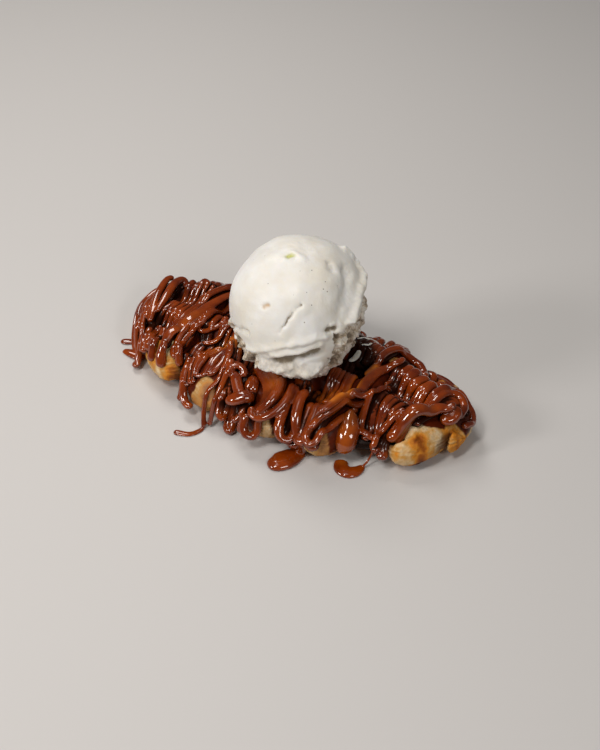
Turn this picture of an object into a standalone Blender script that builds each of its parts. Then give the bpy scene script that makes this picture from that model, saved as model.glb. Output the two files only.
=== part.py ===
"""A croffle: croissant dough pressed in a waffle iron, under chocolate drizzle and one scoop of vanilla ice cream.

Metres, with +Z up. The pastry lies along X with its front towards -Y and rests on z = 0.
The origin is on the flat of the underside, where two bars of the waffle pattern cross."""

import math

import bmesh
import bpy
import numpy as np
from mathutils import Vector

MM = 0.001

# The pastry: a long rounded plan, bowed a little as a croissant is, and pressed flat above and below.
LENGTH = 178 * MM
MIDDLE = -2.5 * MM  # the middle of its length
WIDTH = 80 * MM
HEIGHT = 23 * MM
END_HEIGHT = 20.5 * MM
EDGE_SHARE = 0.42  # the height of the widest line, as a share of the height there
PLAN_POWER = 2.8
FAR_SHARE = 1.07  # the far half is this much wider than the front half
CROWN_POWER = 3.2
END_POWER = 8.0
BOW_OFFSET, BOW_RISE = -1.5 * MM, 7.7 * MM
BOW_FROM, BOW_REACH = 20 * MM, 80 * MM
FLAT_CUT = 0.9 * MM  # the iron levels this much of the crown on the underside

# The waffle pattern: rounded bars both ways, with a pocket between each four.
GRID_TURN = math.radians(5.2)
PITCH_ALONG, PITCH_ACROSS = 31.5 * MM, 26.3 * MM
TOP_START = (1 * MM, -7 * MM)
UNDER_START = (0.0, 0.0)
BAR_FLAT = 4.2 * MM  # half the bar's rounded crest
BAR_FOOT = 10.5 * MM  # half the bar where it meets the pocket's floor
POCKET_DEPTH, UNDER_DEPTH = 8.5 * MM, 6 * MM
FRONT_LOBE, FAR_LOBE = 5.5 * MM, 2.0 * MM  # how far the outline draws in between the bars
CRAG = 0.45 * MM
STATIONS, TOP_POINTS, UNDER_POINTS = 46, 22, 10

# The drizzle: a zigzag across the pastry, then thick ribbons over it.
STRAND_RADIUS = 1.9 * MM
STRAND_SIDES = 5
FIRST_PASS, LAST_PASS = -85 * MM, 82 * MM
PITCH_LEFT, PITCH_RIGHT = 4.9 * MM, 6.1 * MM
PASS_LEAN = 3.5 * MM  # how much further along X a pass is at the front edge
FAR_REACH, FRONT_REACH = (-1.0 * MM, 3.5 * MM), (-1.5 * MM, 3.0 * MM)  # how far past the edge a turn hangs
BARE_LEFT, BARE_RIGHT, BARE_DEPTH = -48 * MM, 49 * MM, 8 * MM  # past these the front edge is left bare
WANDER = 0.7 * MM
STEP = 1.5 * MM
SINK = 0.35  # the share of its radius by which a strand sits in what carries it
SAG_RADIUS = 8 * MM
SAG_ROUNDS = 160
DRAPE_SLOPE = 2.4  # the fall of a strand's hanging turn for each metre outwards
SIMPLIFY = 0.55 * MM
CELL = 1.0 * MM
FIELD = ((-100 * MM, 100 * MM), (-66 * MM, 52 * MM))

# The scoop, pressed a little into the drizzle.
SCOOP_RADIUS = 31.5 * MM
SCOOP_CENTRE = (-1 * MM, 0.5 * MM, 51 * MM)
SCOOP_GAP = 0.35 * MM
SCOOP_SEGMENTS, SCOOP_RINGS = 44, 26
LIP_TURN, LIP_RISE = math.radians(-20), math.radians(14)  # where the rolled lip is strongest, and how high
LIP_WIDTH, LIP_HEIGHT, CREVICE_DEPTH = 0.15, 0.045, 0.085
SKIRT_RISE, SKIRT_WIDTH, SKIRT_FLARE = math.radians(-36), 0.17, 0.045

# Thick ribbons: points along each one in millimetres, then half its width. Drops end on the surface below.
RIBBONS = {
    "left_outer": ([(-55, 27), (-58, 14), (-59, -2), (-59, -14), (-57, -22)], 2.3),
    "left_inner": ([(-50, 27), (-53, 12), (-53, -6), (-51, -20), (-49, -31)], 2.6),
    "left_slant": ([(-80, 23), (-78, 10), (-74, -4), (-69, -15)], 2.0),
    "left_end_inner": ([(-76, 30), (-82, 21), (-84, 9), (-82, -3), (-77, -13)], 1.9),
    "left_end_outer": ([(-80, 29), (-87, 20), (-89, 9), (-87, -3), (-81, -14)], 1.9),
    "middle_left": ([(-30, -8), (-27, -18), (-26, -28), (-24, -38)], 2.0),
    "middle_wide": ([(-3, -12), (2, -20), (4, -29), (2, -38)], 3.6),
    "middle_fork": ([(2, -38), (7, -30), (13, -24)], 1.7),
    "right_inner": ([(43, 17), (36, 9), (33, -4), (33, -16), (29, -29)], 2.6),
    "right_cross": ([(33, -17), (39, -13), (46, -6)], 1.9),
    "far_loop": ([(31, 6), (35, 22), (42, 29), (51, 25)], 2.1),
    "end_loop": ([(65, -12), (66, 0), (72, 9), (80, 4), (81, -5)], 2.5),
    "end_wide": ([(62, -21), (65, -12), (71, -3), (77, 0)], 3.6),
    "front_drop": ([(39, -19), (39, -27), (38, -34), (37, -39)], 4.2),
}

# Drips: where each leaves the edge, the points of its pool in millimetres, and half the pool's width.
DRIPS = {
    "long_drip": ([(-25, -34), (-24, -40), (-25, -46), (-30, -51), (-36, -53)], 2.1),
    "front_pool": ([(27, -34), (25, -40), (20, -47), (13, -54)], 3.9),
    "right_pool": ([(39, -33), (41, -39), (45, -43), (50, -41), (52, -36)], 2.9),
    "left_pool": ([(-79, -9), (-83, -12), (-88, -11), (-93, -12)], 2.2),
    "left_flick": ([(-70, -15), (-74, -19), (-80, -20)], 1.9),
}
POOL_HEIGHT = 0.72  # a pool's height as a share of half its width
LEVEL = 0.03 * MM  # what is lower than this lies on the surface
CROFFLE_TRIANGLES = 9000  # what the joined skin is lightened to before the scoop's seat is cut


def smoothstep(value):
    value = np.clip(value, 0, 1)
    return value * value * (3 - 2 * value)


def end_share(x):
    """0 in the middle of the length and 1 at either end."""
    return np.clip(np.abs(x - MIDDLE) / (LENGTH / 2), 0, 1)


def centre_line(x):
    return BOW_OFFSET + BOW_RISE * ((x - BOW_FROM) / BOW_REACH) ** 2


def plain_half_width(x):
    """Half the plan's width at x, before the lobes: a long superellipse."""
    return WIDTH / 2 * np.sqrt(np.maximum(1 - end_share(x) ** PLAN_POWER, 1e-6))


def off_bar(position, start, pitch):
    """0 on the crest of a bar, rising to 1 on the floor of the pocket beside it."""
    cells = (position - start) / pitch
    distance = np.abs(cells - np.round(cells)) * pitch
    return smoothstep((distance - BAR_FLAT) / (BAR_FOOT - BAR_FLAT))


def pocket(x, y, start):
    """How deep in a pocket of the waffle pattern (x, y) lies, from 0 to 1."""
    along = x * math.cos(GRID_TURN) + y * math.sin(GRID_TURN)
    across = y * math.cos(GRID_TURN) - x * math.sin(GRID_TURN)
    return off_bar(along, start[0], PITCH_ALONG) * off_bar(across, start[1], PITCH_ACROSS)


def half_width(x, side):
    """Half the plan's width on one side, drawn in between the bars so that each bar ends in a lobe."""
    plain = plain_half_width(x) * np.where(side > 0, FAR_SHARE, 1)
    edge = centre_line(x) + side * plain
    along = x * math.cos(GRID_TURN) + edge * math.sin(GRID_TURN)
    draw_in = np.where(side > 0, FAR_LOBE, FRONT_LOBE) * off_bar(along, TOP_START[0], PITCH_ALONG)
    return plain - draw_in * smoothstep(plain / (WIDTH / 4))


def across_share(x, y):
    """Where y lies between the centre line, 0, and the edge on its side, 1 or -1."""
    offset = y - centre_line(x)
    side = np.sign(offset)
    return offset / half_width(x, side)


def end_round(x):
    return np.sqrt(np.maximum(1 - end_share(x) ** END_POWER, 0))


def crest_height(x):
    """The height of the bars' crests at x."""
    return HEIGHT + (END_HEIGHT - HEIGHT) * end_share(x) ** 2


def edge_height(x):
    return EDGE_SHARE * crest_height(x)


def crags(x, y, height):
    """Shallow unevenness of the baked crust, as a sum of crossed waves."""
    a = np.sin(x / (2.9 * MM) + 1.7 * np.sin(y / (5.1 * MM)))
    b = np.sin(y / (2.3 * MM) + height / (1.9 * MM) + 0.9 * np.sin(x / (6.7 * MM)))
    return CRAG * a * b


def top_height(x, y):
    """The pastry's upper surface: a flat crown, rounded at the edge, with the pockets pressed in."""
    share = np.clip(np.abs(across_share(x, y)), 0, 1)
    crown = np.sqrt(1 - share**CROWN_POWER) * end_round(x)
    edge = edge_height(x)
    depth = POCKET_DEPTH * pocket(x, y, TOP_START) * smoothstep((1 - share) / 0.3) * end_round(x)
    return edge + (crest_height(x) - edge) * crown - depth


def under_height(x, y):
    """The underside: level bars at z = 0, with shallower pockets between them."""
    share = np.clip(np.abs(across_share(x, y)), 0, 1)
    crown = np.sqrt(1 - share**CROWN_POWER) * end_round(x)
    along = x * math.cos(GRID_TURN) + y * math.sin(GRID_TURN)
    mouth = off_bar(along, TOP_START[0], PITCH_ALONG) * smoothstep((share - 0.72) / 0.16)
    depth = UNDER_DEPTH * np.maximum(pocket(x, y, UNDER_START) * (1 - smoothstep((share - 0.7) / 0.1)), mouth)
    curve = np.maximum(edge_height(x) * (1 - crown) - FLAT_CUT, 0)
    return np.minimum(curve + depth * end_round(x), 0.5 * edge_height(x) + 0.5 * curve + 1 * MM)


def ground_height(x, y):
    """What a strand lands on: the pastry, then a steep fall beyond its edge to the surface it rests on."""
    over = (np.abs(across_share(x, y)) - 1) * half_width(x, np.sign(y - centre_line(x)))
    past_end = np.maximum(np.abs(x - MIDDLE) - LENGTH / 2, 0)
    outside = np.maximum(edge_height(x) - DRAPE_SLOPE * np.hypot(np.maximum(over, 0), past_end), 0)
    inside = (over < 0) & (past_end == 0)
    return np.where(inside, top_height(x, y), outside)


def mesh_object(name, points, faces):
    mesh = bpy.data.meshes.new(name)
    mesh.from_pydata([tuple(point) for point in points], [], faces)
    mesh.validate()
    made = bpy.data.objects.new(name, mesh)
    bpy.context.scene.collection.objects.link(made)
    return made


def rings_to_mesh(name, rings):
    """A closed skin over a row of rings of points, shut at both ends by a fan to each end ring's middle."""
    rings = np.asarray(rings)
    count, around = rings.shape[:2]
    points = np.concatenate([rings.reshape(-1, 3), [rings[0].mean(0), rings[-1].mean(0)]])
    faces = []
    for i in range(count - 1):
        for j in range(around):
            a, b = i * around + j, i * around + (j + 1) % around
            faces.append((a, b, b + around, a + around))
    first, last = count * around, count * around + 1
    for j in range(around):
        after = (j + 1) % around
        faces.append((after, j, first))
        faces.append(((count - 1) * around + j, (count - 1) * around + after, last))
    return mesh_object(name, points, faces)


def face_outwards(made):
    work = bmesh.new()
    work.from_mesh(made.data)
    bmesh.ops.remove_doubles(work, verts=work.verts, dist=1e-6)
    bmesh.ops.recalc_face_normals(work, faces=work.faces)
    bmesh.ops.triangulate(work, faces=work.faces)
    work.to_mesh(made.data)
    work.free()
    return made


def spread(count):
    """Values from -1 to 1, closer together towards both ends."""
    even = np.linspace(-1, 1, count)
    return 0.45 * even + 0.55 * np.sin(even * math.pi / 2)


def make_pastry():
    """Sections across X: each runs over the top from front to back and returns underneath."""
    rings = []
    for x in MIDDLE + spread(STATIONS) * (LENGTH / 2) * 0.998:
        over, under = spread(TOP_POINTS + 1), spread(UNDER_POINTS + 1)[::-1]
        share = np.concatenate([over[:-1], under[:-1]])
        y = centre_line(x) + share * half_width(x, np.sign(share))
        top, bottom = top_height(x, y), under_height(x, y)
        on_top = np.arange(len(share)) < TOP_POINTS
        z = np.where(on_top, top + crags(x, y, top), bottom)
        rings.append(np.stack([np.full_like(y, x), y, z], axis=1))
    return face_outwards(rings_to_mesh("pastry", rings))


class Ground:
    """The height of everything laid so far, on a grid of small cells."""

    def __init__(self):
        (x0, x1), (y0, y1) = FIELD
        self.corner = np.array([x0, y0])
        self.x, self.y = np.meshgrid(np.arange(x0, x1, CELL), np.arange(y0, y1, CELL), indexing="ij")
        self.height = ground_height(self.x, self.y)

    def under(self, path):
        cell = (path - self.corner) / CELL
        low = np.floor(cell).astype(int)
        share = cell - low
        total = 0
        for i, j in ((0, 0), (0, 1), (1, 0), (1, 1)):
            weight = np.abs(1 - i - share[:, 0]) * np.abs(1 - j - share[:, 1])
            total = total + weight * self.height[low[:, 0] + i, low[:, 1] + j]
        return total

    def add(self, line, radius, flatness):
        """Raises the cells that a laid strand covers to its rounded upper side."""
        reach = int(radius / CELL) + 1
        for x, y, z in line:
            i, j = ((np.array([x, y]) - self.corner) / CELL).astype(int)
            near = np.s_[i - reach : i + reach + 2, j - reach : j + reach + 2]
            away = (self.x[near] - x) ** 2 + (self.y[near] - y) ** 2
            rise = z + flatness * np.sqrt(np.maximum(radius**2 - away, 0))
            self.height[near] = np.where(
                away < radius**2, np.maximum(self.height[near], rise), self.height[near]
            )


def smooth_path(points, step):
    """Evenly spaced points along a Catmull-Rom curve through the given ones."""
    points = np.asarray(points, float)
    padded = np.concatenate([[2 * points[0] - points[1]], points, [2 * points[-1] - points[-2]]])
    share = np.linspace(0, 1, 16, endpoint=False)[:, None]
    pieces = []
    for a, b, c, d in zip(padded[:-3], padded[1:-2], padded[2:-1], padded[3:]):
        cubic = (3 * b - a - 3 * c + d) * share**3 + (2 * a - 5 * b + 4 * c - d) * share**2
        pieces.append(0.5 * (cubic + (c - a) * share + 2 * b))
    curve = np.concatenate([*pieces, points[-1:]])
    run = np.concatenate([[0], np.cumsum(np.linalg.norm(np.diff(curve, axis=0), axis=1))])
    even = np.linspace(0, run[-1], max(3, round(run[-1] / step) + 1))
    return np.stack([np.interp(even, run, curve[:, k]) for k in range(curve.shape[1])], axis=1)


def lay(path, radius, ground, flatness=1.0):
    """Drapes a plan path over the ground: it rests on what is high and sags between, no tighter than SAG_RADIUS."""
    rest = ground.under(path) + (1 - SINK) * radius * flatness
    z = rest.copy()
    sag = STEP**2 / (2 * SAG_RADIUS)
    for _ in range(SAG_ROUNDS):
        z[1:-1] = np.maximum(rest[1:-1], (z[:-2] + z[2:]) / 2 - sag)
    line = np.column_stack([path, z])
    ground.add(line, radius, flatness)
    return line


def thinned(line, tolerance):
    """The points of a line that it can't do without: the Douglas-Peucker rule."""
    keep, spans = {0, len(line) - 1}, [(0, len(line) - 1)]
    while spans:
        first, last = spans.pop()
        if last - first < 2:
            continue
        chord = line[last] - line[first]
        chord /= max(np.linalg.norm(chord), 1e-9)
        offset = line[first + 1 : last] - line[first]
        distance = np.linalg.norm(offset - np.outer(offset @ chord, chord), axis=1)
        worst = int(distance.argmax())
        if distance[worst] > tolerance:
            middle = first + 1 + worst
            keep.add(middle)
            spans += [(first, middle), (middle, last)]
    return line[sorted(keep)]


def strand(name, line, radii, flatness, sides, floor=None):
    """A tube round a line, its width level and its height square to the line, closed by a small end at each end."""
    tangent = np.gradient(line, axis=0)
    tangent /= np.linalg.norm(tangent, axis=1, keepdims=True)
    level = np.column_stack([-tangent[:, 1], tangent[:, 0], np.zeros(len(line))])
    level /= np.maximum(np.linalg.norm(level, axis=1, keepdims=True), 1e-9)
    upright = np.cross(tangent, level)
    angles = np.linspace(0, 2 * math.pi, sides, endpoint=False) + math.pi / 2
    rings = []
    for point, side, up, radius in zip(line, level, upright, radii):
        ring = point + radius * (np.outer(np.cos(angles), side) + flatness * np.outer(np.sin(angles), up))
        if floor is not None:
            ring[:, 2] = np.maximum(ring[:, 2], floor)
        rings.append(ring)
    return face_outwards(rings_to_mesh(name, rings))


def blunt(count, radius):
    """A radius for each point of a strand, drawn in at both ends."""
    radii = np.full(count, radius)
    radii[[0, -1]] = 0.55 * radius
    return radii


def zigzag(rng):
    """The plan path of each pass of the zigzag, from the far edge to the front edge or back."""
    turns = [FIRST_PASS]
    while turns[-1] < LAST_PASS:
        share = (turns[-1] - FIRST_PASS) / (LAST_PASS - FIRST_PASS)
        turns.append(turns[-1] + (PITCH_LEFT + (PITCH_RIGHT - PITCH_LEFT) * share) * rng.uniform(0.75, 1.25))
    sides = np.resize([1, -1], len(turns))
    ends = []
    for x, side in zip(turns, sides):
        reach = rng.uniform(*(FAR_REACH if side > 0 else FRONT_REACH))
        if side < 0 and not BARE_LEFT < x < BARE_RIGHT:
            reach -= BARE_DEPTH
        x -= side * PASS_LEAN / 2
        ends.append((x, centre_line(x) + side * (half_width(x, side) + reach)))
    paths = []
    t = np.linspace(0, 1, 11)
    for (x0, y0), (x1, y1) in zip(ends[:-1], ends[1:]):
        bend, phase = rng.uniform(-1, 1, size=2)
        middle, spread_x = (x0 + x1) / 2, (x1 - x0) / 2
        # The pass keeps to the middle of its lane and swings to the shared turn only near each end.
        swing = smoothstep((t - 0.84) / 0.16) - smoothstep((0.16 - t) / 0.16)
        wander = WANDER * bend * np.sin(2 * math.pi * (t + phase)) * np.sin(math.pi * t)
        lean = math.copysign(PASS_LEAN, y0 - y1) * (t - 0.5)
        lane = middle + lean * (1 - np.abs(swing)) + spread_x * swing + wander
        paths.append(np.column_stack([lane, y0 + (y1 - y0) * t]))
    return paths


def make_drizzle(collection):
    """The zigzag first, then the ribbons over it, then the drips that run down to the surface below."""
    rng = np.random.default_rng(7)
    ground = Ground()
    made = []
    for k, path in enumerate(zigzag(rng)):
        line = thinned(lay(smooth_path(path, STEP), STRAND_RADIUS, ground), SIMPLIFY)
        radius = STRAND_RADIUS * rng.uniform(0.9, 1.12)
        made.append(strand(f"pass_{k}", line, blunt(len(line), radius), 1.0, STRAND_SIDES, 0.0))
    for name, (points, half) in RIBBONS.items():
        radius, flatness = half * MM, 0.75
        line = lay(smooth_path(np.array(points) * MM, STEP), radius, ground, flatness)
        line = thinned(line, SIMPLIFY)
        made.append(strand(name, line, blunt(len(line), radius), flatness, 6, 0.0))
    for name, (points, half) in DRIPS.items():
        path = smooth_path(np.array(points) * MM, STEP)
        radius = half * MM
        line = lay(path, radius * 0.7, ground, POOL_HEIGHT)
        line = line[np.unique([*range(0, len(line), 2), len(line) - 1])]
        run = np.linspace(0, 1, len(line))
        swell = (0.55 + 0.45 * smoothstep(run / 0.6)) * np.sqrt(1.04 - smoothstep((run - 0.8) / 0.2))
        made.append(strand(name, line, radius * swell, POOL_HEIGHT, 7, 0.0))
    for item in made:
        bpy.context.scene.collection.objects.unlink(item)
        collection.objects.link(item)
    return made


def bump(value, middle, width):
    """A rounded bump of height 1 at the middle."""
    return np.exp(-(((value - middle) / width) ** 2))


def scoop_share(turn, rise):
    """The scoop's radius as a share of SCOOP_RADIUS: a dome, a rolled lip that is strongest on one side with a
    crevice under it, and a ragged skirt low down where it left the scoop's rim."""
    high = np.cos(rise)
    rolls = 0.012 * high**2 * np.sin(2 * turn + 2.2 * rise + 0.6) + 0.008 * np.sin(3.1 * rise + 1.0)
    facing = smoothstep((np.cos(turn - LIP_TURN) + 0.25) / 0.75)
    lip_rise = LIP_RISE + 0.16 * np.sin(turn - LIP_TURN) + 0.05 * np.sin(5 * turn)
    lip = LIP_HEIGHT * bump(rise, lip_rise, LIP_WIDTH)
    crevice = CREVICE_DEPTH * bump(rise, lip_rise - 1.7 * LIP_WIDTH, 0.8 * LIP_WIDTH)
    ragged = 0.7 + 0.35 * np.sin(9 * turn + 1.8 * np.sin(4 * turn))
    skirt = SKIRT_FLARE * ragged * bump(rise, SKIRT_RISE, SKIRT_WIDTH)
    return 1 + rolls + facing * (lip - crevice * (0.7 + 0.3 * np.sin(7 * turn))) + skirt


def make_scoop():
    rings = []
    turn = np.linspace(0, 2 * math.pi, SCOOP_SEGMENTS, endpoint=False)
    for rise in np.linspace(0.97, -0.97, SCOOP_RINGS) * math.pi / 2:
        radius = SCOOP_RADIUS * scoop_share(turn, rise)
        level, height = radius * math.cos(rise), radius * math.sin(rise)
        ring = np.column_stack([level * np.cos(turn), level * np.sin(turn), height])
        rings.append(ring + SCOOP_CENTRE)
    return face_outwards(rings_to_mesh("ice_cream_scoop", rings))


def apply_modifiers(made):
    bpy.context.view_layer.update()
    graph = bpy.context.evaluated_depsgraph_get()
    result = bpy.data.meshes.new_from_object(made.evaluated_get(graph))
    made.modifiers.clear()
    made.data = result


def lighten(made, triangles):
    """Brings a mesh down to a number of triangles, the flattest parts first, and levels what it rests on."""
    modifier = made.modifiers.new("lighten", "DECIMATE")
    modifier.ratio = min(1, triangles / len(made.data.polygons))
    apply_modifiers(made)
    for vertex in made.data.vertices:
        if vertex.co.z < LEVEL:
            vertex.co.z = 0


def apply_boolean(made, operation, solver, **operand):
    modifier = made.modifiers.new(operation.lower(), "BOOLEAN")
    modifier.operation = operation
    modifier.solver = solver
    for key, value in operand.items():
        setattr(modifier, key, value)
    apply_modifiers(made)


def keep_largest(made):
    """Drops loose scraps and the shells of sealed hollows: only the outer skin of the one body stays."""
    work = bmesh.new()
    work.from_mesh(made.data)
    bmesh.ops.triangulate(work, faces=work.faces)
    left, groups = set(work.verts), []
    while left:
        group, edge = set(), [left.pop()]
        while edge:
            vertex = edge.pop()
            group.add(vertex)
            for link in vertex.link_edges:
                other = link.other_vert(vertex)
                if other in left:
                    left.remove(other)
                    edge.append(other)
        groups.append(group)
    groups.sort(key=len)
    scraps = [vertex for group in groups[:-1] for vertex in group]
    bmesh.ops.delete(work, geom=scraps, context="VERTS")
    work.to_mesh(made.data)
    work.free()


def grown_copy(made, centre, growth):
    """A copy larger by growth all round a centre, for cutting the seat that made rests in."""
    copy = bpy.data.objects.new(made.name + "_cutter", made.data.copy())
    bpy.context.scene.collection.objects.link(copy)
    for vertex in copy.data.vertices:
        offset = vertex.co - centre
        vertex.co = centre + offset * (1 + growth / offset.length)
    return copy


def material(name, colour, roughness):
    made = bpy.data.materials.new(name)
    made.use_nodes = True
    shader = made.node_tree.nodes["Principled BSDF"]
    shader.inputs["Base Color"].default_value = (*colour, 1)
    shader.inputs["Roughness"].default_value = roughness
    return made


def main():
    for old in list(bpy.data.objects):
        bpy.data.objects.remove(old)
    croffle = make_pastry()
    croffle.name = croffle.data.name = "croffle"
    drizzle = bpy.data.collections.new("drizzle")
    bpy.context.scene.collection.children.link(drizzle)
    strands = make_drizzle(drizzle)
    apply_boolean(croffle, "UNION", "MANIFOLD", operand_type="COLLECTION", collection=drizzle)
    for item in strands:
        bpy.data.objects.remove(item)
    bpy.data.collections.remove(drizzle)
    keep_largest(croffle)
    lighten(croffle, CROFFLE_TRIANGLES)

    scoop = make_scoop()
    cutter = grown_copy(scoop, Vector(SCOOP_CENTRE), SCOOP_GAP)
    apply_boolean(croffle, "DIFFERENCE", "MANIFOLD", object=cutter)
    bpy.data.objects.remove(cutter)
    keep_largest(croffle)

    croffle.data.materials.clear()
    croffle.data.materials.append(material("chocolate_on_pastry", (0.13, 0.035, 0.014), 0.2))
    scoop.data.materials.append(material("ice_cream", (0.86, 0.84, 0.77), 0.5))
    for made in (croffle, scoop):
        made.data.shade_smooth()
        made.data.set_sharp_from_angle(angle=math.radians(40))


main()
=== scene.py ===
import math

import bpy
import numpy as np
from mathutils import Matrix, Vector


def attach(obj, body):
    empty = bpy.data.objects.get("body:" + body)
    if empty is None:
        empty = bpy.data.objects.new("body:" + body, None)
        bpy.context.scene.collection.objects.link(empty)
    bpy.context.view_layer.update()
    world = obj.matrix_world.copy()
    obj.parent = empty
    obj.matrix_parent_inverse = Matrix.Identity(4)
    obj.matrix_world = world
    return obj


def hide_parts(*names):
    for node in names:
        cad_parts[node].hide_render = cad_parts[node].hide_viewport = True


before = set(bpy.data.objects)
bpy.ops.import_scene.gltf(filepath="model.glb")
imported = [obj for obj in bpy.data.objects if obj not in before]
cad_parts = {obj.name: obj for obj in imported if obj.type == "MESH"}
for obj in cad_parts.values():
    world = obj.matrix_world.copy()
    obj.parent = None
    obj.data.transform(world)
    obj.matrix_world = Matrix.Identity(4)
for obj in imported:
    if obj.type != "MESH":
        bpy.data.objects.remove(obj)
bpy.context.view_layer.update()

MM = 0.001


# --------------------------------------------------------------------
# The pastry. Croissant dough pressed in a waffle iron: a long rounded slab with rounded bars both ways
# and a pocket between each four. Its edge shows the dough's thin layers, and it is browned where the iron
# pressed. A film of chocolate covers what isn't bare.

LENGTH, MIDDLE, WIDTH = 178 * MM, -2.5 * MM, 80 * MM
HEIGHT, END_HEIGHT = 23 * MM, 20.5 * MM
EDGE_SHARE, PLAN_POWER, FAR_SHARE = 0.42, 2.8, 1.07
CROWN_POWER, END_POWER = 3.2, 8.0
BOW_OFFSET, BOW_RISE, BOW_FROM, BOW_REACH = -1.5 * MM, 7.7 * MM, 20 * MM, 80 * MM
FLAT_CUT = 0.9 * MM

GRID_TURN = math.radians(5.2)
PITCH_ALONG, PITCH_ACROSS = 31.5 * MM, 26.3 * MM
BAR_FLAT, BAR_FOOT = 4.2 * MM, 10.5 * MM
POCKET_DEPTH, UNDER_DEPTH = 8.5 * MM, 6 * MM
POCKET_RIM, UNDER_TO, UNDER_FADE = 0.3, 0.7, 0.1

# The bars on top, in millimetres: points along the crest of each long one, where the short ones cross
# y = 0, and how far those slant. Their crests are narrower than those underneath.
LONG_BARS = (
    ((-95, -13), (-62, -23), (-30, -24), (0, -25), (30, -31), (60, -30), (90, -20)),
    ((-95, 4), (-64, 5), (-30, 3), (10, -1), (44, -7), (64, -12), (90, -6)),
    ((-95, 20), (-60, 30), (-20, 31), (20, 27), (45, 17), (64, 9), (90, 8)),
)
CROSS_BARS, CROSS_SLANT = (-90, -57, -25, 8, 37, 75), 0.17
TOP_FLAT, TOP_FOOT = 2.6 * MM, 9.5 * MM

# The rounded ends of the bars along the edge: the middle of each and half its width, in millimetres.
FRONT_LOBES = (
    (-93, 18), (-62, 15), (-31, 13), (1, 14), (30, 10.5), (70.0, 10.5), (85.5, 4.4),
)
FAR_LOBES = (
    (-93, 18), (-62, 16), (-31, 16), (1, 16), (33, 16), (68, 14), (88, 8),
)
LOBE_POWER, LOBE_ROUNDING = 2.4, 0.7
FRONT_GAP, FAR_GAP = 8.0 * MM, 3.5 * MM
GAP_FALL, GAP_FROM, GAP_OVER = 0.5, 0.5, 0.4
MOUTH_FROM, MOUTH_OVER, MOUTH_ROOF = 0.6, 0.3, 0.62

# How much each thing browns the dough, the share low down being partly browning and partly painted shade near
# the floor, and the middle's share painted shade on the lobes in front; and the places that the iron browned
# most: x, y, how far the browning reaches in millimetres, and how strong it is.
BAKE_BASE, BAKE_BLOTCH, BAKE_LOW_AND_SHADE, BAKE_LAYER, BAKE_CRUST, BAKE_MIDDLE_SHADE = 0.11, 0.34, 0.35, 0.12, 0.10, 0.12
BLOTCH_STRETCH, BLOTCH_SIZE, BLOTCH_SHARE, BLOTCH_EDGE = (1, 1, 0.45), 9 * MM, 0.05, 0.5
LOW_FROM, LOW_FADE = 1 * MM, 5 * MM
BROWNED = (
    (74, -19, 5.2, 0.38), (70.5, -21, 2.8, 0.32), (64, -30, 3.5, 0.4), (84, -4, 5.0, 0.45),
    (-51, -29, 4.0, 0.55), (-69, -18, 4.5, 0.4), (-50, -33, 3.5, 0.5), (-27, -36, 3.0, 0.3),
    (43, 24, 3.0, 0.35),
)

# Places that the chocolate left bare: x, y and half the length and width of each, in millimetres.
BARE = (
    (-61, -28, 15.0, 12.0), (-75, -13, 3.5, 4.0), (-30, -37, 6.0, 8.5), (4.5, -42, 4.5, 4.5),
    (31, -41, 7.0, 7.0), (70, -22.5, 12.0, 12.5), (79, -14, 6.0, 7.0), (84, -4, 5.0, 7.0),
    (41, 22, 3.6, 3.0), (60, 15, 3.0, 2.4),
)

# The film of chocolate: its ragged edge, and how high it starts round the side, higher at the back.
FILM_RAGGED, FILM_EDGE, BARE_REACH, FILM_GRAIN = 0.20, 0.12, 1.06, 7 * MM
FILM_LINE, FILM_LINE_RISE, FILM_LINE_WANDER, FILM_FADE = 6.5 * MM, 3 * MM, 2.5 * MM, 1 * MM
BEHIND_OVER = 10 * MM
FILM_HEIGHT, FILM_SMOOTHING = 0.25 * MM, 0.8

# Where the dough is painted darker, as shade on the bare lobes in front: from x to x, and how far that fades,
# in millimetres; and from which share of the half width outwards the gaps between the lobes get painted
# shade.
MIDDLE_SHADE_START, MIDDLE_SHADE_END = (-48, 10), (45, 12)
SHADE_FROM, SHADE_OVER = 0.55, 0.3

PASTRY_STATIONS, PASTRY_TOP, PASTRY_UNDER = 400, 150, 80
END_CROWDING, EDGE_CROWDING, TIP_SHARE = 0.85, 0.6, 0.9995
LAYER_PITCH, LAYER_DEPTH, LAYER_FLOOR, LAYER_SLANT = 1.7 * MM, 0.40 * MM, 0.6, 0.18
LAYER_FROM, LAYER_OVER = 0.74, 0.15
LAYER_WARP, LAYER_WARP_SIZE = 2.6 * MM, 12 * MM
LAYER_WHOLE, LAYER_BREAKS, LAYER_BREAK_SIZE = 0.8, 1.2, 9 * MM
CRUST_SIZE, CRUST_DEPTH = 3.4 * MM, 0.48 * MM
FOOT_HEIGHT, FOOT_FADE = 1.2 * MM, 2 * MM

RANDOM_VALUES, HASH_PRIMES = 4096, (73856093, 19349663, 83492791)


def smoothstep(value):
    """0 below 0 and 1 above 1, with an S between them: 3 v squared less 2 v cubed."""
    value = np.clip(value, 0, 1)
    return value * value * (3 - 2 * value)


def unevenness(points, size, seed):
    """Soft random values from -1 to 1: a random one at each corner of a cubic cell, blended across it."""
    table = np.random.default_rng(seed).uniform(-1, 1, RANDOM_VALUES)
    cell = points / size
    low = np.floor(cell).astype(np.int64)
    share = smoothstep(cell - low)
    total = 0
    for corner in np.ndindex(2, 2, 2):
        key = np.bitwise_xor.reduce((low + corner) * HASH_PRIMES, axis=-1)
        weight = np.prod(np.where(corner, share, 1 - share), axis=-1)
        total = total + weight * table[key & (RANDOM_VALUES - 1)]
    return total


def rough(points, size, seed, octaves=3):
    """Unevenness at several sizes added up: each is half the size and half the height of the last."""
    return sum(unevenness(points, size / 2**k, seed + k) / 2**k for k in range(octaves))


def end_share(x):
    """How far x lies towards an end: 0 in the middle and 1 at both ends."""
    return np.clip(np.abs(x - MIDDLE) / (LENGTH / 2), 0, 1)


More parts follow.
